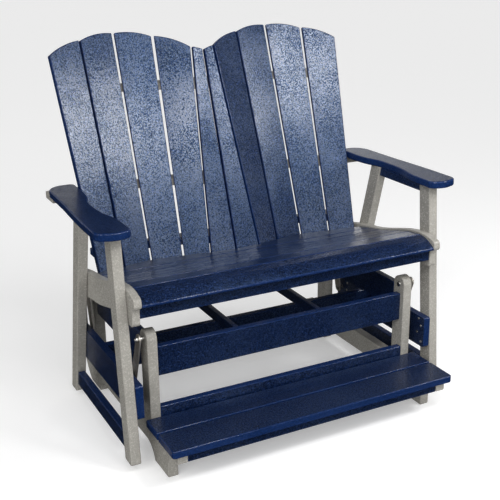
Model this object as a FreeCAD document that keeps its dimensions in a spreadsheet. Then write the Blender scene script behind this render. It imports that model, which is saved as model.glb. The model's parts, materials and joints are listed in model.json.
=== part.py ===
"""Double glider bench with a footrest: a seat for two that hangs on four steel links from a floor frame.

+X runs to the right as seen from the front, -Y is the front, +Z is up.
The origin lies on the floor under the middle of the bench.  Lengths are in millimetres.
"""
import FreeCAD, Part
import math
import os
import re

VECTOR = FreeCAD.Vector

# Every driving size, by the word that names its cell.
SIZES = {
    # stock that the bench is cut from, and clearances
    "board": 28, "leg_thick": 38, "leg_depth": 64, "post_depth": 68, "wide_board": 112,
    "bar_wide": 19, "bar_tall": 41, "running_gap": 0.3, "shaft_gap": 0.05, "cleat_gap": 0.5,
    # seat side frames: the legs' outer faces, feet and slopes, and what lies between them
    "side_half": 660, "leg_bottom": 29.5, "arm_under": 848, "leg_chamfer": 6,
    "front_leg_foot_y": -361.6, "front_leg_slope": 0.09, "rear_leg_foot_y": 271.4, "rear_leg_slope": -0.28,
    "arm_rail_tall": 36, "low_stretcher_bottom": 67, "low_stretcher_tall": 62,
    # pivots and links
    "pivot_height": 456, "front_pivot_y": -263, "rear_pivot_y": 319, "drop": 205,
    "front_lean": 78.2, "rear_lean": 53.8, "link_wide": 38, "link_thick": 6,
    "upper_standoff": 15, "lower_standoff": 17, "bolt_radius": 5, "rear_hole_radius": 8.6,
    "collar_radius": 10, "head_radius": 12, "head_thick": 5, "nut_flats": 17, "nut_thick": 8,
    "bolt_tip": 4, "blind_end": 2,
    # boards that hang on the links
    "swing_board_below": 59, "swing_board_above": 68, "swing_board_front": -340, "swing_board_back": 300,
    "swing_board_round": 8, "swing_stretcher_y": 35, "cleat_front": 259,
    # floor frame
    "rail_top": 136, "arch_height": 55, "arch_front": -236, "arch_back": 182, "arch_bulge": 16.5,
    "nose_front": -532, "nose_under": 100, "nose_round": 6, "nose_long": 27, "nose_bulge": 18.4,
    "front_foot_front": -440, "front_foot_back": -314, "foot_lip": 34,
    "rear_foot_front": 290, "rear_foot_back": 400, "rear_nose": 472, "rear_bulge": 12.3, "rear_round": 20,
    "stretcher_below": 148, "stretcher_setback": 20, "side_board_below": 115,
    "bar_spread": 178, "bar_below": 95,
    # footrest
    "footrest_side": 22, "footrest_front": -549, "footrest_front_slat": 133, "footrest_gap": 8,
    "footrest_back_gap": 6, "footrest_corner": 12, "footrest_lip": 62, "footrest_board_back": 3,
    # seat
    "seat_front": 650, "front_slat_wide": 86, "rear_slat_front": 60, "slat_gap": 3, "slat_sink": 6,
    "nose_slat_front": -374, "slat_nose_long": 58, "slat_nose_low": 20, "slat_nose_bulge": 3,
    "back_clearance": 1.5, "apron_front": -347, "apron_tall": 52, "apron_gap": 0.6, "panel_deep": 103,
    "panel_nose_long": 65, "support_deep": 60, "support_back": 126, "support_gap": 3.2,
    # back
    "back_thick": 20, "back_side_gap": 22, "fan_flare": 49, "fan_drop": 78, "back_drop": 102,
    "fan_gap_low": 7, "fan_gap_high": 10, "slat_crown_radius": 265, "upper_batten_rise": 529,
    "lower_batten_drop": 54, "batten_behind": 44, "batten_inset": 12, "batten_reach": 30,
    "batten_step": 24, "batten_clearance": 0.3,
    # screw heads
    "screw_radius": 5, "screw_tall": 1.5,
}

# Planes that several pieces share, in size words.
SEAT_INNER = "(side_half-leg_thick-board)"
LINK_INNER = f"({SEAT_INNER}-lower_standoff-link_thick)"
FRAME_HALF = f"({LINK_INNER}-upper_standoff)"
FRAME_INNER = f"({FRAME_HALF}-leg_thick)"
POST_FRONT = "(front_pivot_y-post_depth/2)"
LOW_PIVOT = "(pivot_height-drop)"
SWING_BOTTOM = f"({LOW_PIVOT}-swing_board_below)"
SWING_TOP = f"({LOW_PIVOT}+swing_board_above)"
BACK_HALF_LOW = f"({SEAT_INNER}-back_side_gap)"
BACK_HALF_HIGH = f"({BACK_HALF_LOW}+fan_flare)"

# A quarter circle of radius 1 stands this far off its chord.
QUARTER = 1 - math.sqrt(0.5)

os.makedirs("parts", exist_ok=True)
doc = FreeCAD.newDocument("glider")
sheet = doc.addObject("Spreadsheet::Sheet", "Sizes")
for row, (word, value) in enumerate(SIZES.items(), start=1):
    sheet.set(f"A{row}", word)
    sheet.set(f"B{row}", str(value))
    sheet.setAlias(f"B{row}", word)
doc.recompute()

nodes = {}


def bind(text):
    """Turn an expression in size words into one that FreeCAD reads from the sheet."""
    return re.sub(r"[a-z][a-z_]+", lambda found: "Sizes." + found.group(0), str(text))


def size(text):
    """The value of an expression in size words."""
    return float(sheet.evalExpression(bind(text)))


def keep(node, item):
    """Record an object as the node of that name."""
    item.Label = node
    nodes[node] = item


def place_at(item, **places):
    """Set an item's place on the named axes, in size words."""
    for axis, text in places.items():
        item.setExpression(f".Placement.Base.{axis}", bind(text))


def slab(name, low, lengths):
    """A rectangular board from its low corner and its three lengths, all in size words."""
    item = doc.addObject("Part::Box", name)
    for side, text in zip(("Length", "Width", "Height"), lengths):
        item.setExpression(side, bind(text))
    place_at(item, **dict(zip("xyz", low)))
    return item


def board(node, low, lengths):
    """A slab that is a node of its own."""
    keep(node, slab(node + "_slab", low, lengths))


def group(node, items):
    """Several separate solids that share one node."""
    item = doc.addObject("Part::Compound", node + "_group")
    item.Links = items
    keep(node, item)


def sketch_on(body, role, name):
    """An empty sketch on one of the body's own origin planes."""
    sketch = body.newObject("Sketcher::SketchObject", name)
    plane = next(item for item in body.Origin.OriginFeatures if item.Role == role)
    sketch.AttachmentSupport = [(plane, "")]
    sketch.MapMode = "FlatFace"
    return sketch


def draw(sketch, steps, here):
    """Draw on from a point.  A step is (a, b), or (a, b, bulge) for an arc to (a, b).

    The bulge is how far the arc stands off its chord, to the left of the way along it.
    """
    for step in steps:
        start = VECTOR(here[0], here[1], 0)
        end = VECTOR(step[0], step[1], 0)
        if len(step) == 3:
            way = end - start
            left = VECTOR(-way.y, way.x, 0).normalize()
            sketch.addGeometry(Part.Arc(start, (start + end) * 0.5 + left * step[2], end), False)
        else:
            sketch.addGeometry(Part.LineSegment(start, end), False)
        here = step


def pad(body, sketch, thickness):
    """Pad a body's sketch to a thickness in size words."""
    feature = body.newObject("PartDesign::Pad", body.Name + "_pad")
    feature.Profile = sketch
    feature.setExpression("Length", bind(thickness))
    return body


def plate(name, role, outline, thickness, holes=()):
    """A body padded from a closed outline on an origin plane, with round holes (a, b, radius)."""
    body = doc.addObject("PartDesign::Body", name + "_body")
    sketch = sketch_on(body, role, name + "_outline")
    draw(sketch, outline, outline[-1])
    for across, up, radius in holes:
        sketch.addGeometry(Part.Circle(VECTOR(across, up, 0), VECTOR(0, 0, 1), radius), False)
    return pad(body, sketch, thickness)


def side_plates(name, inner, thickness, outline, holes=()):
    """A left and a right plate in the YZ plane, with their inner faces at plus and minus inner."""
    plates = {}
    for side, offset in (("left", f"-({inner})-({thickness})"), ("right", inner)):
        plates[side] = plate(f"{side}_{name}", "YZ_Plane", outline, thickness, holes)
        place_at(plates[side], x=offset)
    return plates


def both_sides(name, inner, thickness, outline, holes=()):
    """Side plates that are a node each."""
    for side, body in side_plates(name, inner, thickness, outline, holes).items():
        keep(f"{side}_{name}", body)


def pair(node, inner, thickness, outline):
    """Side plates that share a node."""
    group(node, list(side_plates(node, inner, thickness, outline).values()))


def mirrored(outline):
    """The same outline on the other side of its second axis."""
    return [(-step[0], step[1], *(-bulge for bulge in step[2:])) for step in outline]


def turned(name, kind, length, at, facing):
    """A round or six-sided solid along X from a point given in size words; facing is 1 towards +X."""
    item = doc.addObject(kind, name)
    item.setExpression("Height", bind(length))
    item.Placement.Rotation = FreeCAD.Rotation(VECTOR(0, 1, 0), 90 * facing)
    place_at(item, **dict(zip("xyz", at)))
    return item


def cylinder(name, radius, length, at, facing):
    """A turned cylinder with its radius in size words."""
    item = turned(name, "Part::Cylinder", length, at, facing)
    item.setExpression("Radius", bind(radius))
    return item


# Floor frame -------------------------------------------------------------------------------------
# Each side rail is one thick plank with two feet, an arch between them and a nose at each end.

top = size("rail_top")
under = size("nose_under")
soft = size("nose_round")
round_back = size("rear_round")
rail = [
    (size("nose_front"), under + soft),
    (size("nose_front+nose_round"), under, -soft * QUARTER),
    (size("nose_front+nose_long"), under),
    (size("front_foot_front"), size("foot_lip"), size("nose_bulge")),
    (size("front_foot_front"), 0),
    (size("front_foot_back"), 0),
    (size("arch_front"), size("arch_height"), size("arch_bulge")),
    (size("arch_back"), size("arch_height")),
    (size("rear_foot_front"), 0, size("arch_bulge")),
    (size("rear_foot_back"), 0),
    (size("rear_nose"), under, -size("rear_bulge")),
    (size("rear_nose"), top - round_back),
    (size("rear_nose") - round_back, top, -round_back * QUARTER),
    (size("nose_front"), top),
]
both_sides("base_rail", FRAME_INNER, "leg_thick", rail)

# The four posts stand on the rails.  Their tops are half-round about the link's upper pivot.
pivot = size("pivot_height")
shaft_hole = size("bolt_radius+shaft_gap")
half_post = size("post_depth/2")
for end in ("front", "rear"):
    middle = size(f"{end}_pivot_y")
    post = [
        (middle - half_post, pivot, -half_post),
        (middle - half_post, top),
        (middle + half_post, top),
        (middle + half_post, pivot),
    ]
    post_hole = (middle, pivot, shaft_hole)
    for side, body in side_plates(f"{end}_post", FRAME_INNER, "leg_thick", post, [post_hole]).items():
        keep(f"{end}_{side}_post", body)

# Two long stretchers on edge join the posts, set back a little from the posts' front faces.
for end in ("front", "rear"):
    stretcher_front = f"{end}_pivot_y-post_depth/2+stretcher_setback"
    board(f"base_{end}_stretcher",
          (f"-{FRAME_INNER}", stretcher_front, "pivot_height-stretcher_below"),
          (f"2*{FRAME_INNER}", "board", "wide_board"))

# A board on edge joins each front post to the rear post behind it.
for side, offset in (("left", f"-{FRAME_INNER}-board"), ("right", FRAME_INNER)):
    board(f"{side}_base_side_board",
          (offset, "front_pivot_y+post_depth/2", "pivot_height-side_board_below"),
          ("board", "rear_pivot_y-front_pivot_y-post_depth", "wide_board"))

# Two slim bars run from the front stretcher to the rear one.
cross_bars = []
for side, middle in (("left", "-bar_spread"), ("right", "bar_spread")):
    low = (f"{middle}-bar_wide/2", f"{POST_FRONT}+stretcher_setback+board", "pivot_height-bar_below")
    cross_bars.append(slab(f"{side}_bar", low, ("bar_wide", "rear_pivot_y-front_pivot_y-board", "bar_tall")))
group("base_cross_bars", cross_bars)

# Footrest ----------------------------------------------------------------------------------------
# Two wide slats lie on the rails, with a lip board behind them and a board on edge below the front one.

wide = size(f"{FRAME_HALF}+footrest_side")
corner = size("footrest_corner")
rear_slat_front = size("footrest_front+footrest_front_slat+footrest_gap")
footrest_slats = {
    "footrest_front_slat": (size("footrest_front"), size("footrest_front+footrest_front_slat"), corner),
    "footrest_rear_slat": (rear_slat_front, size(f"{POST_FRONT}-footrest_back_gap"), corner / 3),
}
for node, (near, far, radius) in footrest_slats.items():
    slat = [
        (wide, far),
        (-wide, far),
        (-wide, near + radius),
        (-wide + radius, near, -radius * QUARTER),
        (wide - radius, near),
        (wide, near + radius, -radius * QUARTER),
    ]
    body = plate(node, "XY_Plane", slat, "board")
    place_at(body, z="rail_top")
    keep(node, body)
board("footrest_lip_board",
      (f"-{FRAME_INNER}", f"{POST_FRONT}+running_gap", "rail_top"),
      (f"2*{FRAME_INNER}", "board", "footrest_lip"))
board("footrest_front_board",
      (f"-{FRAME_INNER}", "nose_front+footrest_board_back", "nose_under"),
      (f"2*{FRAME_INNER}", "board", "rail_top-nose_under"))

# Links and their pivots --------------------------------------------------------------------------
# Flat steel bars hang from the posts.  The front pair leans back at its lower end and the rear pair
# leans forward, so the seat finds its own middle.

LOW_PIVOT_Y = {"front": "(front_pivot_y+front_lean)", "rear": "(rear_pivot_y-rear_lean)"}
low_height = size(LOW_PIVOT)
low_holes = {"front": shaft_hole, "rear": size("rear_hole_radius")}


def link_outline(high, low):
    """A bar with half-round ends about its two pivots, high and low."""
    reach = size("link_wide/2")
    along = VECTOR(high[0] - low[0], high[1] - low[1], 0).normalize() * reach
    return [
        (high[0] - along.y, high[1] + along.x, -reach),
        (low[0] - along.y, low[1] + along.x),
        (low[0] + along.y, low[1] - along.x, -reach),
        (high[0] + along.y, high[1] - along.x),
    ]


for end, low_y in LOW_PIVOT_Y.items():
    upper = (size(f"{end}_pivot_y"), pivot)
    lower = (size(low_y), low_height)
    link_holes = [(*upper, shaft_hole), (*lower, low_holes[end])]
    bars = side_plates(f"{end}_link", LINK_INNER, "link_thick", link_outline(upper, lower), link_holes)
    for side, body in bars.items():
        keep(f"{end}_{side}_link", body)


def bolt(name, sign, at, parts):
    """A bolt along X fused from cylinders: word, start, radius, length, and 1 to face outwards."""
    item = doc.addObject("Part::MultiFuse", name)
    item.Shapes = [cylinder(f"{name}_{word}", radius, length, (f"{sign}*({start})", *at), sign * outward)
                   for word, start, radius, length, outward in parts]
    return item


def lock_nut(name, sign, at):
    """A hexagon nut with its bore, outside the link."""
    place = (f"{sign}*({LINK_INNER}+link_thick+running_gap)", *at)
    blank = turned(name + "_blank", "Part::Prism", "nut_thick", place, sign)
    blank.Polygon = 6
    blank.setExpression("Circumradius", bind("nut_flats") + "/sqrt(3)")
    nut = doc.addObject("Part::Cut", name)
    nut.Base = blank
    nut.Tool = cylinder(name + "_bore", "bolt_radius", "nut_thick", place, sign)
    return nut


# The upper bolts go through the posts from inside, and a collar on each holds the link off the post.
# The lower bolts screw into the seat's side boards, with the link between head and collar.
UPPER_BOLT = [
    ("head", FRAME_INNER, "head_radius", "head_thick", -1),
    ("shank", FRAME_INNER, "bolt_radius", "leg_thick+upper_standoff+link_thick+nut_thick+bolt_tip", 1),
    ("collar", FRAME_HALF, "collar_radius", "upper_standoff-running_gap", 1),
]
LOWER_BOLT = [
    ("head", f"{LINK_INNER}-running_gap", "head_radius", "head_thick", -1),
    ("shank", f"{LINK_INNER}-running_gap", "bolt_radius", "link_thick+lower_standoff+board-blind_end", 1),
    ("collar", SEAT_INNER, "collar_radius", "lower_standoff-running_gap", -1),
]
upper_bolts = []
upper_nuts = []
lower_bolts = []
for end, low_y in LOW_PIVOT_Y.items():
    for side, sign in (("left", -1), ("right", 1)):
        post_pivot = (f"{end}_pivot_y", "pivot_height")
        upper_bolts.append(bolt(f"{end}_{side}_upper_bolt", sign, post_pivot, UPPER_BOLT))
        upper_nuts.append(lock_nut(f"{end}_{side}_nut", sign, post_pivot))
        lower_bolts.append(bolt(f"{end}_{side}_lower_bolt", sign, (low_y, LOW_PIVOT), LOWER_BOLT))
group("upper_pivot_bolts", upper_bolts)
group("upper_pivot_nuts", upper_nuts)
group("lower_pivot_bolts", lower_bolts)

# Seat side frames --------------------------------------------------------------------------------
# A leaning front leg and a leaning rear leg on each side, clear of the floor, carry the arm.

leg_bottom = size("leg_bottom")
leg_top = size("arm_under")
chamfer = size("leg_chamfer")


def leg_line(end, height, back=False):
    """The depth of a leg's front or back face at a height."""
    foot = size(f"{end}_leg_foot_y") + (size("leg_depth") if back else 0)
    return foot + size(f"{end}_leg_slope") * (height - leg_bottom)


for end in ("front", "rear"):
    leg = [
        (leg_line(end, leg_bottom) + chamfer, leg_bottom),
        (leg_line(end, leg_bottom, True) - chamfer, leg_bottom),
        (leg_line(end, leg_bottom + chamfer, True), leg_bottom + chamfer),
        (leg_line(end, leg_top, True), leg_top),
        (leg_line(end, leg_top), leg_top),
        (leg_line(end, leg_bottom + chamfer), leg_bottom + chamfer),
    ]
    for side, body in side_plates(f"{end}_leg", "side_half-leg_thick", "leg_thick", leg).items():
        keep(f"{end}_{side}_leg", body)


def between_legs(low, high):
    """The outline of a rail that fits between the front and the rear leg."""
    return [
        (leg_line("front", low, True), low),
        (leg_line("rear", low), low),
        (leg_line("rear", high), high),
        (leg_line("front", high, True), high),
    ]


low_rail = size("low_stretcher_bottom")
middle_of_leg = "side_half-leg_thick/2-board/2"
pair("arm_rails", middle_of_leg, "board", between_legs(leg_top - size("arm_rail_tall"), leg_top))
low_outline = between_legs(low_rail, low_rail + size("low_stretcher_tall"))
pair("lower_stretchers", middle_of_leg, "board", low_outline)

# The swing boards are screwed to the legs' inner faces and take the links' lower pivots.
board_front = size("swing_board_front")
board_back = size("swing_board_back")
board_low = size(SWING_BOTTOM)
board_high = size(SWING_TOP)
easing = size("swing_board_round")
swing_board = [
    (board_front, board_low + easing),
    (board_front + easing, board_low, -easing * QUARTER),
    (board_back - easing, board_low),
    (board_back, board_low + easing, -easing * QUARTER),
    (board_back, board_high - easing),
    (board_back - easing, board_high, -easing * QUARTER),
    (board_front + easing, board_high),
    (board_front, board_high - easing, -easing * QUARTER),
]
pivot_holes = [(size(low_y), low_height, shaft_hole) for low_y in LOW_PIVOT_Y.values()]
both_sides("swing_board", SEAT_INNER, "board", swing_board, pivot_holes)

# One long stretcher ties the two swing boards together under the seat.
board("swing_stretcher",
      (f"-{SEAT_INNER}", "swing_stretcher_y", f"{SWING_TOP}-wide_board"),
      (f"2*{SEAT_INNER}", "board", "wide_board"))

# Screw heads on the swing boards' inner faces: height over the board's lower edge, and depth behind
# the leg's front face.
SCREWS = {
    "front": ((20, 22), (54, 46), (88, 20), (114, 34)),
    "rear": ((20, 40), (54, 14), (88, 20), (114, 34)),
}
screws = []
for sign in (-1, 1):
    for end, places in SCREWS.items():
        for above, behind in places:
            height = board_low + above
            at = (f"{sign}*{SEAT_INNER}", leg_line(end, height) + behind, height)
            screws.append(cylinder(f"screw_{len(screws) + 1}", "screw_radius", "screw_tall", at, -sign))
group("swing_board_screws", screws)

# Arms --------------------------------------------------------------------------------------------
# A broad paddle at the front, a waist, and a narrower rounded end behind the back.  The outline is
# measured outwards from the legs' outer faces.

ARM = [
    (59, -230), (48, 45, -2.4), (43, 240), (-15, 314, -18.6), (-39, 314), (-66, 284, -11.7), (-66, 225),
    (-55, 105, -4.1), (-36, -20, 8), (-45, -130, 3.1), (-63, -245, -3.2), (-63, -303), (-37, -340, -10.3),
    (29, -336, -7.6), (59, -297, -9.5),
]
arm = [(size("side_half") + step[0], *step[1:]) for step in ARM]
for side, outline in (("left", mirrored(arm)), ("right", arm)):
    body = plate(f"{side}_arm", "XY_Plane", outline, "board")
    place_at(body, z="arm_under")
    keep(f"{side}_arm", body)

# Seat --------------------------------------------------------------------------------------------
# Curved side panels on the legs' inner faces carry slats that follow the same curve.  The curve is
# given as depths, and heights over the panels' front.

SEAT_CURVE = [
    (-365, 0), (-330, 9), (-278, 13.5), (-214, 5.5), (-147, -10), (-80, -28.5), (-9, -46), (65, -57.5),
    (130, -66.5), (195, -80), (290, -94),
]
SLAT_COUNT = 7
PANEL_STEPS = 9
panel_front = SEAT_CURVE[0][0]
panel_back = SEAT_CURVE[-1][0]
seat_points = [VECTOR(0, place, size("seat_front") + rise) for place, rise in SEAT_CURVE]


def spline_through(points):
    """A smooth curve through points."""
    curve = Part.BSplineCurve()
    curve.interpolate(points)
    return curve


seat_spline = spline_through(seat_points)


def seat_height(place):
    """Height of the side panels' top edge at a depth, level beyond its ends."""
    if place <= panel_front:
        return seat_points[0].z
    if place >= panel_back:
        return seat_points[-1].z
    upright = Part.Plane(VECTOR(0, place, 0), VECTOR(0, 1, 0))
    return seat_spline.intersect(upright)[0][0].Z


def seat_plate(name, first, last, sink, deep, nose=()):
    """A board on edge whose top follows the seat, sink below it, and whose lower edge is deep below that.

    A nose is drawn by steps from the front end of its lower edge to the front end of its top.
    """
    belly_first = first + (size("panel_nose_long") if nose else 0)
    crest = [first + (last - first) * step / PANEL_STEPS for step in range(PANEL_STEPS + 1)]
    belly = [last + (belly_first - last) * step / PANEL_STEPS for step in range(PANEL_STEPS + 1)]
    tops = [VECTOR(place, seat_height(place) - sink, 0) for place in crest]
    lows = [VECTOR(place, seat_height(place) - sink - deep, 0) for place in belly]
    body = doc.addObject("PartDesign::Body", name + "_body")
    sketch = sketch_on(body, "YZ_Plane", name + "_outline")
    sketch.addGeometry(spline_through(tops), False)
    sketch.addGeometry(Part.LineSegment(tops[-1], lows[0]), False)
    sketch.addGeometry(spline_through(lows), False)
    draw(sketch, list(nose) or [(tops[0].x, tops[0].y)], (lows[-1].x, lows[-1].y))
    return pad(body, sketch, "board")


# The panel's nose bulges forward over a small notch: depths behind the panel's front, and drops
# below its top edge there.
PANEL_NOSE = [(33, 109), (15, 90, 6.7), (13, 44), (-1, 38, -1.8), (-9, 16, 5.1), (0, 0, 2.9)]
panel_foot = size("panel_deep+board/4")
panel_nose = [(panel_front + size("panel_nose_long"), size("seat_front") - panel_foot)]
panel_nose += [(panel_front + step[0], size("seat_front") - step[1], *step[2:]) for step in PANEL_NOSE]
for side, offset in (("left", "leg_thick-side_half"), ("right", SEAT_INNER)):
    panel = seat_plate(f"{side}_seat_panel", panel_front, panel_back, 0, size("panel_deep"), panel_nose)
    place_at(panel, x=offset)
    keep(f"{side}_seat_panel", panel)

# A short cleat stands on each swing board and carries the panel's rear end.
cleat_front = size("cleat_front")
cleat_back = size("cleat_front+board")
under_panel = size("panel_deep+cleat_gap")
cleat = [
    (cleat_front, board_high),
    (cleat_back, board_high),
    (cleat_back, seat_height(cleat_back) - under_panel),
    (cleat_front, seat_height(cleat_front) - under_panel),
]
pair("rear_cleats", SEAT_INNER, "board", cleat)


def top_line(first, last):
    """A slat's top face as a straight line between two depths: its height at any depth, and its slope."""
    near = seat_height(first) - size("slat_sink")
    far = seat_height(last) - size("slat_sink")
    slope = (far - near) / (last - first)
    return lambda place: near + slope * (place - first), slope


def seat_slat(node, first, last, nose=False):
    """A slat across the seat, its edges cut upright, its top face just below the panels' top edges."""
    top_at, slope = top_line(first, last)
    thick = size("board") * math.hypot(1, slope)
    outline = [
        (first, top_at(first) - thick),
        (last, top_at(last) - thick),
        (last, top_at(last)),
    ]
    if nose:
        flat = first + size("slat_nose_long")
        outline += [(flat, top_at(flat)),
                    (first, top_at(first) - size("slat_nose_low"), -size("slat_nose_bulge"))]
    else:
        outline.append((first, top_at(first)))
    slat = plate(node, "YZ_Plane", outline, f"2*{SEAT_INNER}")
    place_at(slat, x=f"-{SEAT_INNER}")
    keep(node, slat)


nose_start = size("nose_slat_front")
first_end = size("nose_slat_front+front_slat_wide")
rear_start = size("rear_slat_front")
pitch = (rear_start - first_end - size("slat_gap")) / (SLAT_COUNT - 2)
seat_slat("seat_slat_1", nose_start, first_end, nose=True)
for number in range(2, SLAT_COUNT):
    start = first_end + size("slat_gap") + (number - 2) * pitch
    seat_slat(f"seat_slat_{number}", start, start + pitch - size("slat_gap"))

# The apron closes the front under the first slat; a curved support runs back from it at mid-span.
first_top = top_line(nose_start, first_end)[0]
apron_top = first_top(size("apron_front")) - size("board+apron_gap")
board("seat_apron",
      (f"-{SEAT_INNER}", "apron_front", f"{apron_top:.3f}-apron_tall"),
      (f"2*{SEAT_INNER}", "board", "apron_tall"))
support = seat_plate("seat_center_support", size("apron_front+board"), size("support_back"),
                     size("slat_sink+board+support_gap"), size("support_deep"))
place_at(support, x="-board/2")
keep("seat_center_support", support)

# Back --------------------------------------------------------------------------------------------
# Ten slats in two hollow fans, five to each side.  Each lies between two neighbouring lines of its
# fan.  A line is given from the outer edge to the middle of the bench: its share of the back's half
# width and its depth at the foot, then the same at the head, and the head's height over the seat.

FAN = [
    (1, 141.6, 1, 402.6, 693.5), (0.8024, 171.7, 0.7778, 465.6, 734), (0.5918, 204.7, 0.539, 513, 749),
    (0.3706, 181.4, 0.2968, 479, 733), (0.1888, 145.5, 0.0781, 408.4, 692.5), (0, 134, 0, 402.6, 681),
]
SLATS_A_SIDE = len(FAN) - 1


def fan_line(index):
    """The foot and the head of one line of the left fan, on the slats' front faces."""
    foot_share, foot_depth, head_share, head_depth, rise = FAN[index]
    foot = VECTOR(-foot_share * size(BACK_HALF_LOW), foot_depth, size("seat_front-fan_drop"))
    head = VECTOR(-head_share * size(BACK_HALF_HIGH), head_depth, size("seat_front") + rise)
    return foot, head


def share_at(index, height):
    """How far up a line of the fan a height is: 0 at its foot, 1 at its head."""
    foot, head = fan_line(index)
    return (height - foot.z) / (head.z - foot.z)


def line_at(index, height):
    """The point of a line of the left fan at a height."""
    foot, head = fan_line(index)
    return foot + (head - foot) * share_at(index, height)


def unit(vector):
    """A copy of a vector with length 1."""
    return VECTOR(vector).normalize()


def slat_plane(index):
    """Origin and axes of a left slat's own plane: across it, up it, and out of its back."""
    (outer_foot, outer_head), (inner_foot, inner_head) = fan_line(index), fan_line(index + 1)
    origin = (outer_foot + inner_foot) * 0.5
    up = unit((outer_head + inner_head) * 0.5 - origin)
    across = inner_foot - outer_foot + inner_head - outer_head
    across = unit(across - up * across.dot(up))
    return origin, across, up, unit(up.cross(across))


def slat_edges(index):
    """A left slat's outer and inner edges in its own plane: a foot and a head each, with their gaps."""
    origin, across, up, rear = slat_plane(index)
    level = (size("seat_front-back_drop") - origin.z) / up.z
    edges = []
    for line, inward in ((index, 1), (index + 1, -1)):
        foot, head = (((point - origin).dot(across), (point - origin).dot(up)) for point in fan_line(line))
        lean = (head[0] - foot[0]) / (head[1] - foot[1])
        low_place = foot[0] + inward * size("fan_gap_low/2") + lean * (level - foot[1])
        edges.append(((low_place, level), (head[0] + inward * size("fan_gap_high/2"), head[1])))
    return edges


def back_slat(index, side):
    """One flat slat with a crowned top, laid in its own plane; the right side mirrors the left."""
    origin, across, up, rear = slat_plane(index)
    (outer_foot, outer_head), (inner_foot, inner_head) = slat_edges(index)
    crown = (inner_head[0] - outer_head[0]) ** 2 / (8 * size("slat_crown_radius"))
    outline = [inner_foot, inner_head, (*outer_head, -crown), outer_foot]
    number = index + 1
    if side == "right":
        outline = mirrored(outline)
        number = 2 * SLATS_A_SIDE - index
        origin, rear = (VECTOR(-vector.x, vector.y, vector.z) for vector in (origin, rear))
        across = VECTOR(across.x, -across.y, -across.z)
        up = VECTOR(-up.x, up.y, up.z)
    body = plate(f"back_slat_{number}", "XY_Plane", outline, "back_thick")
    turn = FreeCAD.Rotation(across, up, rear * -1, "ZXY")
    body.Placement = FreeCAD.Placement(origin + rear * size("back_thick"), turn)
    keep(f"back_slat_{number}", body)


for index in range(SLATS_A_SIDE):
    for side in ("left", "right"):
        back_slat(index, side)

# The rearmost seat slat is a wide board whose back edge is cut to the two hollows of the back.
deepest = FAN[2][1]
rear_top, rear_slope = top_line(rear_start, deepest)
left_edge = [line_at(index, rear_top(deepest) - size("board")) for index in range(SLATS_A_SIDE + 1)]
rear_edge = [(point.x, point.y - size("back_clearance")) for point in left_edge]
rear_edge += [(-across, place) for across, place in reversed(rear_edge[:-1])]
seat_half = size(SEAT_INNER)
plan = [(-seat_half, rear_start), (seat_half, rear_start), (seat_half, rear_edge[-1][1])]
plan += rear_edge[::-1] + [(-seat_half, rear_edge[0][1])]
rear_board = doc.addObject("Part::Feature", "rear_board")
loops = []
for below in (0, size("board") * math.hypot(1, rear_slope)):
    loop = [VECTOR(across, place, rear_top(place) - below) for across, place in plan]
    loops.append(Part.makePolygon(loop + [loop[0]]))
rear_board.Shape = Part.makeLoft(loops, True, True)
keep(f"seat_slat_{SLAT_COUNT}", rear_board)


def behind_slats(height, reach):
    """The back corners of the left slats at a height, from reach or the outer edge to the middle."""
    points = []
    for index in range(SLATS_A_SIDE):
        origin, across, up, rear = slat_plane(index)
        face = origin + rear * size("back_thick+batten_clearance")
        gap = size("fan_gap_low/2") + size("fan_gap_high/2-fan_gap_low/2") * share_at(index, height)
        for line, inward in ((index, gap), (index + 1, -gap)):
            corner = line_at(line, height).x + inward * across.x + rear.x * size("back_thick")
            place = max(corner, -reach)
            behind = face.y - (rear.x * (place - face.x) + rear.z * (height - face.z)) / rear.y
            points.append(VECTOR(place, behind, height))
    return points


def batten(node, low_level, half_long):
    """A level board behind the back, its front edge cut and bevelled to the slats' back faces.

    Where it reaches past the outer slats, its front edge steps back.
    """
    low_level = size(low_level)
    half_long = size(half_long)
    far = max(point.y for point in behind_slats(low_level, half_long)) + size("batten_behind")
    loops = []
    for level in (low_level, low_level + size("board")):
        front = behind_slats(level, half_long)
        if front[0].x > -half_long:
            step = front[0].y + size("batten_step")
            front = [VECTOR(-half_long, step, level), VECTOR(front[0].x, step, level)] + front
        front += [VECTOR(-point.x, point.y, level) for point in reversed(front)]
        loop = front + [VECTOR(half_long, far, level), VECTOR(-half_long, far, level)]
        loops.append(Part.makePolygon(loop + [loop[0]]))
    item = doc.addObject("Part::Feature", node + "_board")
    item.Shape = Part.makeLoft(loops, True, True)
    keep(node, item)


batten("upper_batten", "seat_front+upper_batten_rise", f"{BACK_HALF_LOW}-batten_inset")
batten("arm_batten", "arm_under-board", "side_half+batten_reach")
batten("lower_batten", "seat_front-lower_batten_drop", f"{BACK_HALF_LOW}-batten_inset")

# Check and write ---------------------------------------------------------------------------------
doc.recompute()
for item in doc.Objects:
    faults = [word for word in item.State if word in ("Invalid", "Error")]
    if faults:
        raise RuntimeError(f"{item.Label} is {faults}")
for node, item in nodes.items():
    if item.Shape.isNull() or not item.Shape.isValid():
        raise RuntimeError(f"{node} has no valid shape")
for node, item in nodes.items():
    item.Shape.exportStep(f"parts/{node}.step")
print(len(nodes), "nodes")
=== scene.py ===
"""Double glider bench with a footrest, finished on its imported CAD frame.

Metres throughout: +X is across the bench, -Y is the front, +Z is up.  Every board is speckled polyethylene
lumber; the seat hangs on four flat steel links from the floor frame.
"""

import json
import math

import bmesh
import bpy
import numpy as np
from mathutils import Matrix, Vector


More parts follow.
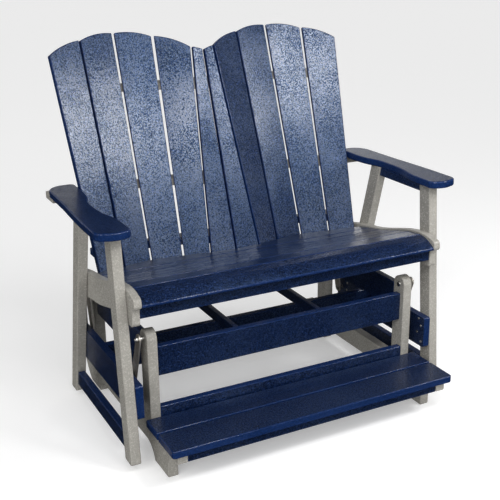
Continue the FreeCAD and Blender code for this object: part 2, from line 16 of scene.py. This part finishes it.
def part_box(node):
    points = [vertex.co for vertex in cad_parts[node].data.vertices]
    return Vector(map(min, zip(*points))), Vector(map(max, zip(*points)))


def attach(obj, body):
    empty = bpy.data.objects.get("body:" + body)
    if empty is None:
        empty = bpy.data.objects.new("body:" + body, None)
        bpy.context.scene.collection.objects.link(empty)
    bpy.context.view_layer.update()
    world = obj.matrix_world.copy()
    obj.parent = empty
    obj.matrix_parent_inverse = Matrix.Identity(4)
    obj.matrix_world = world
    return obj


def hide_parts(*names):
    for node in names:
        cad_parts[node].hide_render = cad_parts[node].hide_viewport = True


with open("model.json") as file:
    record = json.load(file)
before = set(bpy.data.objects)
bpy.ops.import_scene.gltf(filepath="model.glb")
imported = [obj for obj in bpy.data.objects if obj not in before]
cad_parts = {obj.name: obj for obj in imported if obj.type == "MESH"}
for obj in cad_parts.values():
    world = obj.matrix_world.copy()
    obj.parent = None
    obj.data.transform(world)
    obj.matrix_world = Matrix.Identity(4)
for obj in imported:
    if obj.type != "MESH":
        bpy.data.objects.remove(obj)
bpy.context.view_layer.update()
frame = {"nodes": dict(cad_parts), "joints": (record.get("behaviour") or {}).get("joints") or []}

# Side rails ---------------------------------------------------------------------------------------
# Each side of the floor frame stands on one thick plank, sawn from grey polyethylene lumber with an
# arch between its two feet.  Its edges are eased with a router, which leaves them a little smoother.


class Finish:
    """A socket of one material.  Arithmetic on it adds Math nodes, and add() adds any other node."""

    def __init__(self, tree, socket=None):
        self.tree = tree
        self.socket = socket

    def add(self, kind, settings, sockets, output=0):
        """Add a node: first its settings, then the values or links of its sockets."""
        node = self.tree.nodes.new(kind)
        for name, value in settings.items():
            setattr(node, name, value)
        for name, value in sockets.items():
            if isinstance(value, Finish):
                self.tree.links.new(value.socket, node.inputs[name])
            else:
                node.inputs[name].default_value = value
        return Finish(self.tree, node.outputs[output] if node.outputs else None)

    def maths(self, operation, *terms):
        return self.add("ShaderNodeMath", {"operation": operation}, dict(enumerate(terms)))

    def __add__(self, other):
        return self.maths("ADD", self, other)

    def __radd__(self, other):
        return self.maths("ADD", other, self)

    def __sub__(self, other):
        return self.maths("SUBTRACT", self, other)

    def __rsub__(self, other):
        return self.maths("SUBTRACT", other, self)

    def __mul__(self, other):
        return self.maths("MULTIPLY", self, other)

    def __rmul__(self, other):
        return self.maths("MULTIPLY", other, self)

    def mix(self, share, first, second):
        """The first colour where share is 0 and the second where it is 1.

        The node's colours are its sockets 6 and 7 and its output 2.
        """
        return self.add("ShaderNodeMix", {"data_type": "RGBA"}, {0: share, 6: first, 7: second}, 2)

    def noise(self, place, cells, roughness=0.5):
        """Smooth noise from 0 to 1, about half of it above 0.5, with this many cells to a metre."""
        values = {"Vector": place, "Scale": cells, "Detail": 3.0, "Roughness": roughness}
        return self.add("ShaderNodeTexNoise", {}, values)

    def step(self, value, low, high):
        """0 below low, 1 above high, and smooth between them."""
        settings = {"interpolation_type": "SMOOTHSTEP"}
        return self.add("ShaderNodeMapRange", settings, {"Value": value, "From Min": low, "From Max": high})


def new_material(name):
    """An empty material, and the Finish that its nodes are added to."""
    material = bpy.data.materials.new(name)
    material.use_nodes = True
    material.node_tree.nodes.clear()
    return material, Finish(material.node_tree)


def tone(colour, times=1.0, plus=0.0):
    """A colour made lighter or darker, with a full alpha."""
    return tuple(times * value + plus for value in colour) + (1.0,)


# Cells of noise to a metre, the roughness of the finer noise, and the values of that noise at which a
# fleck or a pebble begins and is whole.
CLOUD_CELLS = 6.0
STREAK_CELLS = 70.0
PEBBLE_CELLS = 190.0
PALE_CELLS = 170.0
DARK_CELLS = 140.0
ROUGH_NOISE = 0.8
FLECK_EDGE = (0.50, 0.64)
PEBBLE_EDGE = (0.44, 0.56)

SKIN_ROUGHNESS = 0.36
PLASTIC_IOR = 1.5


def lumber(name, colour, fleck, sheen, tint, gloss, haze, grain, stretch=(1.0, 1.0, 1.0)):
    """Speckled polyethylene lumber: pale and dark flecks in one colour under a fine pebbled skin.

    fleck is how strongly the flecks show, sheen and tint are the strength and colour of what the skin
    mirrors, gloss and haze are the weight and roughness of the clear gloss on its pebbles, and grain is
    the depth of its relief.  Between the pebbles the skin is dull.  stretch is 1 across the board and
    less along it, which draws the streaks out.
    """
    material, finish = new_material(name)
    place = finish.add("ShaderNodeTexCoord", {}, {}, "Object")
    along = finish.add("ShaderNodeMapping", {}, {"Vector": place, "Scale": stretch})
    cloud = finish.noise(place, CLOUD_CELLS)
    streak = finish.noise(along, STREAK_CELLS, 0.6)
    pebble = finish.noise(place, PEBBLE_CELLS, ROUGH_NOISE)
    pale = finish.step(finish.noise(place, PALE_CELLS, ROUGH_NOISE), *FLECK_EDGE)
    dark = finish.step(finish.noise(place, DARK_CELLS, ROUGH_NOISE), *FLECK_EDGE)

    body = finish.mix(0.6 * cloud + 0.4 * streak, tone(colour, 0.6), tone(colour, 1.4))
    lit = finish.mix(pale * fleck, body, tone(colour, 4.0, 0.008))
    speckled = finish.mix(dark * fleck, lit, tone(colour, 0.15))
    height = 0.9 * pebble + 0.1 * streak
    bump = finish.add("ShaderNodeBump", {}, {"Strength": grain, "Distance": 0.001, "Height": height})
    roughness = SKIN_ROUGHNESS + 0.4 * (cloud - 0.5)
    skin = {"Base Color": speckled, "Roughness": roughness, "Normal": bump, "IOR": PLASTIC_IOR,
            "Specular Tint": tone(tint)}
    coat = {"Coat Weight": gloss, "Coat Roughness": haze}
    dull = finish.add("ShaderNodeBsdfPrincipled", {}, {**skin, "Specular IOR Level": 0.2 * sheen})
    pebbled = finish.add("ShaderNodeBsdfPrincipled", {}, {**skin, **coat, "Specular IOR Level": sheen})
    share = finish.step(pebble + 0.2 * (cloud - 0.5), *PEBBLE_EDGE)
    surface = finish.add("ShaderNodeMixShader", {}, {0: share, 1: dull, 2: pebbled})
    finish.add("ShaderNodeOutputMaterial", {}, {"Surface": surface})
    return material


GREY = (0.24, 0.231, 0.209)
GREY_CUT = (0.27, 0.26, 0.236)
WHITE = (1.0, 1.0, 1.0)
grey_skin = lumber("grey_lumber", GREY, fleck=0.25, sheen=0.3, tint=WHITE, gloss=0.1, haze=0.22,
                   grain=0.3)
grey_cut = lumber("grey_lumber_eased", GREY_CUT, fleck=0.12, sheen=0.3, tint=WHITE, gloss=0.3, haze=0.15,
                  grain=0.12)

# Broad faces lie within about 45 degrees of the board's plane.  Corners closer than MERGE_WITHIN are one,
# faces that turn by less than FLAT_WITHIN are one, and edges sharper than CORNER_FROM are eased.
BROAD = 0.7
MERGE_WITHIN = 1e-5
FLAT_WITHIN = math.radians(0.8)
CORNER_FROM = math.radians(32)


def broad_faces(mesh):
    """True for each face of the board's two broad sides.

    Those are the faces whose normal, dotted with the main direction of all the normals weighted by
    area, is over BROAD.
    """
    count = len(mesh.polygons)
    normals = np.empty(count * 3)
    areas = np.empty(count)
    mesh.polygons.foreach_get("normal", normals)
    mesh.polygons.foreach_get("area", areas)
    normals = normals.reshape(-1, 3)
    spread = (normals * areas[:, None]).T @ normals
    main = np.linalg.eigh(spread)[1][:, -1]
    return np.abs(normals @ main) > BROAD


def board(node, body, slot, skin, cut, easing=0.0032):
    """A board from its CAD node: corners merged, flat faces whole, edges eased to a quarter round.

    The eased edges and the sawn sides have the cut finish, and the two broad faces have the skin.
    """
    shape = bmesh.new()
    shape.from_mesh(frame["nodes"][node].data)
    bmesh.ops.remove_doubles(shape, verts=shape.verts, dist=MERGE_WITHIN)
    bmesh.ops.dissolve_limit(shape, angle_limit=FLAT_WITHIN, verts=shape.verts, edges=shape.edges)
    mesh = bpy.data.meshes.new(node + "_finished")
    shape.to_mesh(mesh)
    shape.free()
    mesh.materials.append(skin)
    mesh.materials.append(cut)
    mesh.polygons.foreach_set("material_index", np.where(broad_faces(mesh), 0, 1).astype(np.int32))
    mesh.polygons.foreach_set("use_smooth", np.ones(len(mesh.polygons), bool))
    piece = bpy.data.objects.new(node + "_finished", mesh)
    bpy.context.scene.collection.objects.link(piece)
    eased = piece.modifiers.new("eased_edges", "BEVEL")
    eased.width = easing
    eased.segments = 3
    eased.limit_method = "ANGLE"
    eased.angle_limit = CORNER_FROM
    eased.material = 1
    flat = piece.modifiers.new("flat_faces", "WEIGHTED_NORMAL")
    flat.weight = 90
    flat.keep_sharp = True
    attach(piece, body)
    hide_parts(node)


for side in ("left", "right"):
    board(f"{side}_base_rail", "floor_frame", "grey_lumber", grey_skin, grey_cut)

# Posts --------------------------------------------------------------------------------------------
# Four posts of the same grey lumber stand on the rails, screwed up from below.  Their tops are cut
# half-round about the bolts that the links hang on.

for end in ("front", "rear"):
    for side in ("left", "right"):
        board(f"{end}_{side}_post", "floor_frame", "grey_lumber", grey_skin, grey_cut)

# Stretchers, side boards and cross bars -----------------------------------------------------------
# Blue lumber boards on edge tie the posts together across the bench and from front to back, and two
# slim bars join the stretchers.  The lumber is extruded, so faint streaks run along each board.

BLUE = (0.0022, 0.0072, 0.028)
BLUE_CUT = (0.004, 0.015, 0.062)
BLUE_SHEEN = (0.36, 0.58, 1.0)


def blue(name, stretch):
    """The blue lumber's skin and its cut finish, for boards along the axis where stretch is small."""
    skin = lumber(name, BLUE, fleck=1.0, sheen=1.0, tint=BLUE_SHEEN, gloss=1.0, haze=0.22, grain=0.7,
                  stretch=stretch)
    cut = lumber(name + "_eased", BLUE_CUT, fleck=0.2, sheen=0.2, tint=BLUE_SHEEN, gloss=1.0, haze=0.1,
                 grain=0.06, stretch=stretch)
    return skin, cut


# Streaks are drawn out 25 times along a board.
DRAWN = 0.04
blue_across = blue("blue_lumber_across", (DRAWN, 1.0, 1.0))
blue_deep = blue("blue_lumber_deep", (1.0, DRAWN, 1.0))
blue_tall = blue("blue_lumber_tall", (1.0, 1.0, DRAWN))

board("base_front_stretcher", "floor_frame", "blue_lumber", *blue_across)
board("base_rear_stretcher", "floor_frame", "blue_lumber", *blue_across)
board("left_base_side_board", "floor_frame", "blue_lumber", *blue_deep)
board("right_base_side_board", "floor_frame", "blue_lumber", *blue_deep)
board("base_cross_bars", "floor_frame", "blue_lumber", *blue_deep, easing=0.002)

# Footrest -----------------------------------------------------------------------------------------
# Two wide boards of blue lumber are screwed down on the rails' noses, with a board on edge below their
# front edge and a lip behind them against the posts.

for node in ("footrest_front_slat", "footrest_rear_slat", "footrest_lip_board", "footrest_front_board"):
    board(node, "floor_frame", "blue_lumber", *blue_across, easing=0.004)

# Links and pivots ---------------------------------------------------------------------------------
# Flat steel bars, punched and round at both ends, hang on shoulder bolts through the posts.  Each
# bolt is held by a lock nut over a washer; the lower bolts screw into the seat's side boards.

SCRATCH_CELLS = 900.0
PATCH_CELLS = 45.0
PATCH_EDGE = (0.35, 0.7)


def steel(name, colour, rough, brushed, stretch):
    """Bare steel, dulled in patches.

    brushed is the strength of its fine scratches, which run along the axis where stretch is small.
    """
    material, finish = new_material(name)
    place = finish.add("ShaderNodeTexCoord", {}, {}, "Object")
    along = finish.add("ShaderNodeMapping", {}, {"Vector": place, "Scale": stretch})
    scratch = finish.noise(along, SCRATCH_CELLS, 0.6)
    patch = finish.noise(place, PATCH_CELLS)
    patched = finish.mix(finish.step(patch, *PATCH_EDGE), tone(colour), tone(colour, 0.72))
    roughness = rough + 0.2 * (patch - 0.5) + brushed * (scratch - 0.5)
    bump = finish.add("ShaderNodeBump", {}, {"Strength": brushed, "Distance": 0.0002, "Height": scratch})
    sockets = {"Base Color": patched, "Roughness": roughness, "Normal": bump, "Metallic": 1.0}
    surface = finish.add("ShaderNodeBsdfPrincipled", {}, sockets)
    finish.add("ShaderNodeOutputMaterial", {}, {"Surface": surface})
    return material


bar_steel = steel("steel_bar", (0.78, 0.73, 0.66), rough=0.52, brushed=0.3, stretch=(1.0, 1.0, 0.05))
bolt_steel = steel("fastener", (0.62, 0.61, 0.58), rough=0.28, brushed=0.12, stretch=(1.0, 1.0, 1.0))

for end in ("front", "rear"):
    for side in ("left", "right"):
        node = f"{end}_{side}_link"
        board(node, node, "steel_bar", bar_steel, bar_steel, easing=0.0011)

SHARP_FROM = math.radians(35)


def surface_mesh(name, grids, material):
    """One mesh of several grids of points, each (rows, columns, 3), joined into quads along both ways."""
    points = []
    faces = []
    first = 0
    for grid in grids:
        rows, columns = grid.shape[:2]
        index = first + np.arange(rows * columns).reshape(rows, columns)
        quads = np.stack([index[:-1, :-1], index[:-1, 1:], index[1:, 1:], index[1:, :-1]], -1)
        points.append(grid.reshape(-1, 3))
        faces.append(quads.reshape(-1, 4))
        first += rows * columns
    mesh = bpy.data.meshes.new(name)
    mesh.from_pydata(np.concatenate(points).tolist(), [], np.concatenate(faces).tolist())
    shape = bmesh.new()
    shape.from_mesh(mesh)
    bmesh.ops.remove_doubles(shape, verts=shape.verts, dist=1e-6)
    bmesh.ops.recalc_face_normals(shape, faces=shape.faces)
    shape.to_mesh(mesh)
    shape.free()
    mesh.materials.append(material)
    mesh.polygons.foreach_set("use_smooth", np.ones(len(mesh.polygons), bool))
    mesh.set_sharp_from_angle(angle=SHARP_FROM)
    return mesh


def lathe(profile, centre, facing, around=32, sides=0, flats=0.0):
    """A profile of (distance along X, radius) turned about the X axis through centre.

    A point is centre + (facing * distance, radius * cos turn, radius * sin turn).  With sides, a radius
    over flats is held to a polygon: flats / cos of the angle from the nearest flat's middle.
    """
    turn = np.linspace(0.0, 2.0 * math.pi, around + 1)
    distance, radius = (column[:, None] for column in np.array(profile, float).T)
    if sides:
        wedge = math.pi / sides
        from_middle = np.mod(turn, 2.0 * wedge) - wedge
        radius = np.minimum(radius, flats / np.cos(from_middle)[None, :])
    radius = radius * np.ones_like(turn)[None, :]
    across = facing * distance * np.ones_like(turn)[None, :]
    spun = np.stack([across, radius * np.cos(turn), radius * np.sin(turn)], -1)
    return spun + np.array(centre, float)


def turned_piece(name, grids, material, body, node):
    """Put a piece of turned grids in the scene on its body, in place of its CAD node."""
    piece = bpy.data.objects.new(name, surface_mesh(name, grids, material))
    bpy.context.scene.collection.objects.link(piece)
    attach(piece, body)
    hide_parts(node)


def domed_head(radius, seat, rim, rise, steps=6):
    """Profile of a domed head: a straight rim from its seat, then a quarter ellipse to its crown.

    The ellipse is (seat + rim + rise * sin swing, radius * cos swing).
    """
    swing = np.linspace(0.0, 0.5 * math.pi, steps)
    crown = [(seat + rim + rise * math.sin(angle), radius * math.cos(angle)) for angle in swing]
    return [(seat, 0.0), (seat, radius)] + crown


def drum(radius, near, far):
    """Profile of a plain solid drum between two distances."""
    return [(near, 0.0), (near, radius), (far, radius), (far, 0.0)]


def ring(bore, radius, near, far):
    """Profile of a flat washer.  The wall of its bore is left out, since the bolt fills it."""
    return [(near, bore), (near, radius), (far, radius), (far, bore)]


def bolt_end(radius, length, chamfer):
    """Profile of a bolt's end with a chamfered tip."""
    shank = [(0.0, 0.0), (0.0, radius), (length - chamfer, radius)]
    return shank + [(length, radius - chamfer), (length, 0.0)]


BOLT_RADIUS = 0.005
BOLT_PAST_LINK = 0.012
BOLT_CHAMFER = 0.0008
HEAD_RADIUS = 0.0118
UPPER_HEAD = {"rim": 0.0012, "rise": 0.0036}
LOWER_HEAD = {"rim": 0.0013, "rise": 0.0034}
COLLAR_RADIUS = 0.0098
WASHER_RADIUS = 0.0125
WASHER_THICK = 0.0013
NUT_SIDES = 6
NUT_HALF_FLATS = 0.0083
NUT_BORE = 0.0048
NUT_HEIGHT = 0.0052
NUT_FOOT_CHAMFER = (0.0008, 0.0012)
NUT_TOP_CHAMFER = (0.0010, 0.0013)
CROWN_FOOT = (0.0054, 0.0074)
CROWN_TOP = (0.0069, 0.0070)
RUNNING_GAP = 0.0003
SIDES = {"left": -1, "right": 1}
pivots = {joint["name"]: joint["pos_m"] for joint in frame["joints"]}


def outer_face(node, sign):
    """Where along X a node's outer face lies; sign is -1 on the left side and 1 on the right."""
    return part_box(node)[(1 + sign) // 2].x


def inner_face(node, sign):
    """Where along X a node's inner face lies."""
    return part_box(node)[(1 - sign) // 2].x


def lock_nut(seat):
    """Profile of a lock nut from its seat, out to a hexagon's corners and in to its round crown.

    Both chamfers are (height, depth), and the crown's foot and top are (height over the seat, radius).
    The wall of its bore is left out, since the bolt fills it.
    """
    corner = NUT_HALF_FLATS / math.cos(math.pi / NUT_SIDES)
    top = seat + NUT_HEIGHT
    hexagon = [(seat, NUT_BORE), (seat, corner - NUT_FOOT_CHAMFER[1]), (seat + NUT_FOOT_CHAMFER[0], corner),
               (top - NUT_TOP_CHAMFER[0], corner), (top, corner - NUT_TOP_CHAMFER[1])]
    crown = [(seat + height, radius) for height, radius in (CROWN_FOOT, CROWN_TOP)]
    return hexagon + crown + [(seat + CROWN_TOP[0], NUT_BORE)]


upper = []
nuts = []
for end in ("front", "rear"):
    pivot = pivots[f"{end}_left_link_hinge"][1:]
    for side, sign in SIDES.items():
        post_in = inner_face(f"{end}_{side}_post", sign)
        post_out = outer_face(f"{end}_{side}_post", sign)
        link_in = inner_face(f"{end}_{side}_link", sign)
        link_out = outer_face(f"{end}_{side}_link", sign)
        reach = abs(link_in - post_out) - RUNNING_GAP
        washer_out = RUNNING_GAP + WASHER_THICK
        head = domed_head(HEAD_RADIUS, 0.0, **UPPER_HEAD)
        collar = drum(COLLAR_RADIUS, 0.0, reach)
        washer = ring(BOLT_RADIUS, WASHER_RADIUS, RUNNING_GAP, washer_out)
        tip = bolt_end(BOLT_RADIUS, BOLT_PAST_LINK, BOLT_CHAMFER)
        upper.append(lathe(head, (post_in, *pivot), -sign))
        upper.append(lathe(collar, (post_out, *pivot), sign))
        upper.append(lathe(washer, (link_out, *pivot), sign))
        upper.append(lathe(tip, (link_out, *pivot), sign))
        nuts.append(lathe(lock_nut(washer_out), (link_out, *pivot), sign, around=48, sides=NUT_SIDES,
                          flats=NUT_HALF_FLATS))
turned_piece("upper_bolts", upper, bolt_steel, "floor_frame", "upper_pivot_bolts")
turned_piece("lock_nuts", nuts, bolt_steel, "floor_frame", "upper_pivot_nuts")

# Seat side frames ---------------------------------------------------------------------------------
# On each side a front and a rear leg of grey lumber, clear of the floor, are tied by blue boards: a
# rail under the arm, a low stretcher and the long board that hangs on the links' lower bolts.

for end in ("front", "rear"):
    for side in ("left", "right"):
        board(f"{end}_{side}_leg", "seat_swing", "grey_lumber", grey_skin, grey_cut, easing=0.004)
for node in ("arm_rails", "lower_stretchers", "left_swing_board", "right_swing_board"):
    board(node, "seat_swing", "blue_lumber", *blue_deep)
board("swing_stretcher", "seat_swing", "blue_lumber", *blue_across)
board("rear_cleats", "seat_swing", "grey_lumber", grey_skin, grey_cut)

# Front links lean back on their way down and rear links forward, so a lower pivot lies at the low end of
# its link's box, as far in from that end's two edges as the upper pivot lies below the top.
lower = []
for end, lean in (("front", 1), ("rear", -1)):
    for side, sign in SIDES.items():
        low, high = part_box(f"{end}_{side}_link")
        reach = high.z - pivots[f"{end}_left_link_hinge"][2]
        pivot = ((high.y if lean > 0 else low.y) - lean * reach, low.z + reach)
        link_in = inner_face(f"{end}_{side}_link", sign)
        link_out = outer_face(f"{end}_{side}_link", sign)
        gap = abs(inner_face(f"{side}_swing_board", sign) - link_out)
        head = domed_head(HEAD_RADIUS, RUNNING_GAP, **LOWER_HEAD)
        collar = drum(COLLAR_RADIUS, RUNNING_GAP, gap)
        lower.append(lathe(head, (link_in, *pivot), -sign))
        lower.append(lathe(collar, (link_out, *pivot), sign))
turned_piece("lower_bolts", lower, bolt_steel, "seat_swing", "lower_pivot_bolts")

# Seat ---------------------------------------------------------------------------------------------
# Two curved grey side panels on the legs' inner faces carry seven blue slats, an apron closes the
# front, and a curved support holds the slats at mid-span.

for side in ("left", "right"):
    board(f"{side}_seat_panel", "seat_swing", "grey_lumber", grey_skin, grey_cut, easing=0.005)
board("seat_center_support", "seat_swing", "grey_lumber", grey_skin, grey_cut)
for number in range(1, 8):
    board(f"seat_slat_{number}", "seat_swing", "blue_lumber", *blue_across, easing=0.003)
board("seat_apron", "seat_swing", "blue_lumber", *blue_across)

# Back ---------------------------------------------------------------------------------------------
# Ten slats of blue lumber stand in two hollow fans, five to each side, against three level battens
# that are cut to their backs and screwed on from behind.  The lowest batten is blue and two are grey.

for number in range(1, 11):
    board(f"back_slat_{number}", "seat_swing", "blue_lumber", *blue_tall, easing=0.003)
for node in ("upper_batten", "arm_batten"):
    board(node, "seat_swing", "grey_lumber", grey_skin, grey_cut)
board("lower_batten", "seat_swing", "blue_lumber", *blue_across)

# Arms ---------------------------------------------------------------------------------------------
# Broad paddle arms of blue lumber are screwed down on the legs and the arm rails, with every edge
# rounded over for the hand.

for side in ("left", "right"):
    board(f"{side}_arm", "seat_swing", "blue_lumber", *blue_deep, easing=0.006)

# Screws -------------------------------------------------------------------------------------------
# Stainless screws with low pan heads hold each leg from inside, through the boards that hang on the
# links: four to a leg, in two staggered rows.

SCREW_RADIUS = 0.0052
SCREW_HEAD = {"rim": 0.0006, "rise": 0.0012}


def loose_parts(node):
    """The middle of each separate solid of a CAD node."""
    shape = bmesh.new()
    shape.from_mesh(frame["nodes"][node].data)
    bmesh.ops.remove_doubles(shape, verts=shape.verts, dist=MERGE_WITHIN)
    waiting = set(shape.verts)
    middles = []
    while waiting:
        found = [waiting.pop()]
        for vert in found:
            near = {edge.other_vert(vert) for edge in vert.link_edges} & waiting
            waiting -= near
            found.extend(near)
        places = np.array([vert.co[:] for vert in found])
        middles.append((places.min(0) + places.max(0)) / 2)
    shape.free()
    return sorted(middles, key=lambda middle: tuple(middle.round(4)))


screws = []
for middle in loose_parts("swing_board_screws"):
    side = "right" if middle[0] > 0 else "left"
    sign = SIDES[side]
    face = inner_face(f"{side}_swing_board", sign)
    head = domed_head(SCREW_RADIUS, 0.0, **SCREW_HEAD)
    screws.append(lathe(head, (face, middle[1], middle[2]), -sign, around=24))
turned_piece("screw_heads", screws, bolt_steel, "seat_swing", "swing_board_screws")

# Floor, light and camera --------------------------------------------------------------------------
# A wide pale floor that gives no mirror image, a broad key light on the left, soft boxes whose mirror
# images lie across the back, and a dim white room.

FLOOR_HALF = 60.0
floor_mesh = bpy.data.meshes.new("floor")
corners = [(-FLOOR_HALF, -FLOOR_HALF, 0), (FLOOR_HALF, -FLOOR_HALF, 0), (FLOOR_HALF, FLOOR_HALF, 0),
           (-FLOOR_HALF, FLOOR_HALF, 0)]
floor_mesh.from_pydata(corners, [], [(0, 1, 2, 3)])
floor = bpy.data.objects.new("floor", floor_mesh)
bpy.context.scene.collection.objects.link(floor)
floor_finish, finish = new_material("pale_floor")
paint = finish.add("ShaderNodeBsdfPrincipled", {}, {
    "Base Color": tone(WHITE, 0.82), "Roughness": 0.9, "Specular IOR Level": 0.0,
    "Emission Color": tone(WHITE), "Emission Strength": 0.3})
finish.add("ShaderNodeOutputMaterial", {}, {"Surface": paint})
floor_mesh.materials.append(floor_finish)
floor.visible_glossy = False

# The room's own light, what the backdrop adds to it, what a glossy board mirrors low down on the
# walls, and what every mirror image loses.
ROOM_LIGHT = 0.25
BACKDROP_LIGHT = 0.7
MIRRORED_LOW = 0.45
MIRRORED_LOSS = 0.2
LOW_BAND_EDGE = (0.28, 0.42)

world = bpy.data.worlds.new("room")
world.use_nodes = True
world.node_tree.nodes.clear()
room = Finish(world.node_tree)
way = room.add("ShaderNodeTexCoord", {}, {}, "Generated")
up = room.add("ShaderNodeSeparateXYZ", {}, {"Vector": way}, "Z")
walls = room.mix(room.step(up, -0.05, 0.05), tone(WHITE, 0.02), tone(WHITE))
seen = room.add("ShaderNodeLightPath", {}, {}, "Is Camera Ray")
backdrop = room.mix(seen, walls, tone(WHITE))
mirrored = room.add("ShaderNodeLightPath", {}, {}, "Is Glossy Ray")
low_band = 1.0 - room.step(up, *LOW_BAND_EDGE)
strength = ROOM_LIGHT + BACKDROP_LIGHT * seen + mirrored * (MIRRORED_LOW * low_band - MIRRORED_LOSS)
glow = room.add("ShaderNodeBackground", {}, {"Color": backdrop, "Strength": strength})
room.add("ShaderNodeOutputWorld", {}, {"Surface": glow})
bpy.context.scene.world = world

BACK_MIDDLE = (0.0, 0.3, 1.0)


def aim(name, lamp, place, target):
    """Put a lamp at a place and turn it to face a target."""
    holder = bpy.data.objects.new(name, lamp)
    turned = (Vector(target) - Vector(place)).to_track_quat("-Z", "Y").to_matrix().to_4x4()
    holder.matrix_world = Matrix.Translation(place) @ turned
    bpy.context.scene.collection.objects.link(holder)


def soft_sun(name, azimuth, elevation, strength, spread):
    """A distant lamp of wide angle: azimuth from the front towards +X, elevation above the floor."""
    lamp = bpy.data.lights.new(name, "SUN")
    lamp.energy = strength
    lamp.angle = math.radians(spread)
    spin, rise = math.radians(azimuth), math.radians(elevation)
    towards = (math.sin(spin) * math.cos(rise), -math.cos(spin) * math.cos(rise), math.sin(rise))
    aim(name, lamp, towards, (0.0, 0.0, 0.0))


def soft_box(name, place, wide, tall, radiance):
    """A rectangular lamp near the bench, facing the middle of the back."""
    lamp = bpy.data.lights.new(name, "AREA")
    lamp.shape = "RECTANGLE"
    lamp.size = wide
    lamp.size_y = tall
    lamp.energy = radiance * math.pi * wide * tall
    aim(name, lamp, place, BACK_MIDDLE)


soft_sun("left_key", azimuth=-55, elevation=34, strength=1.6, spread=50)
soft_sun("front_light", azimuth=5, elevation=34, strength=0.6, spread=50)
soft_sun("rim_light", azimuth=148, elevation=5, strength=0.03, spread=12)
soft_box("back_box", (1.1, 1.55, 2.15), wide=0.9, tall=0.4, radiance=2.5)
soft_box("right_box", (2.15, -1.75, 2.34), wide=0.9, tall=0.72, radiance=17.0)
soft_box("middle_box", (0.42, -1.62, 2.43), wide=0.4, tall=0.7, radiance=19.0)
soft_box("left_box", (-0.5, -1.75, 2.15), wide=0.8, tall=0.45, radiance=13.0)

CAMERA_PLACE = Vector((-1.529, -2.998, 1.773))
YAW, PITCH, ROLL = (math.radians(angle) for angle in (28.231, -20.094, -0.24))
camera = bpy.data.cameras.new("camera")
camera.sensor_width = 36.0
camera.lens = 65.94
camera.shift_x = -0.04
camera.shift_y = 0.03
stand = bpy.data.objects.new("camera", camera)
panned = Matrix.Rotation(-YAW, 4, "Z")
tilted = Matrix.Rotation(0.5 * math.pi + PITCH, 4, "X")
rolled = Matrix.Rotation(ROLL, 4, "Z")
stand.matrix_world = Matrix.Translation(CAMERA_PLACE) @ (panned @ tilted @ rolled)
bpy.context.scene.collection.objects.link(stand)
bpy.context.scene.camera = stand
bpy.context.scene.view_settings.view_transform = "Standard"
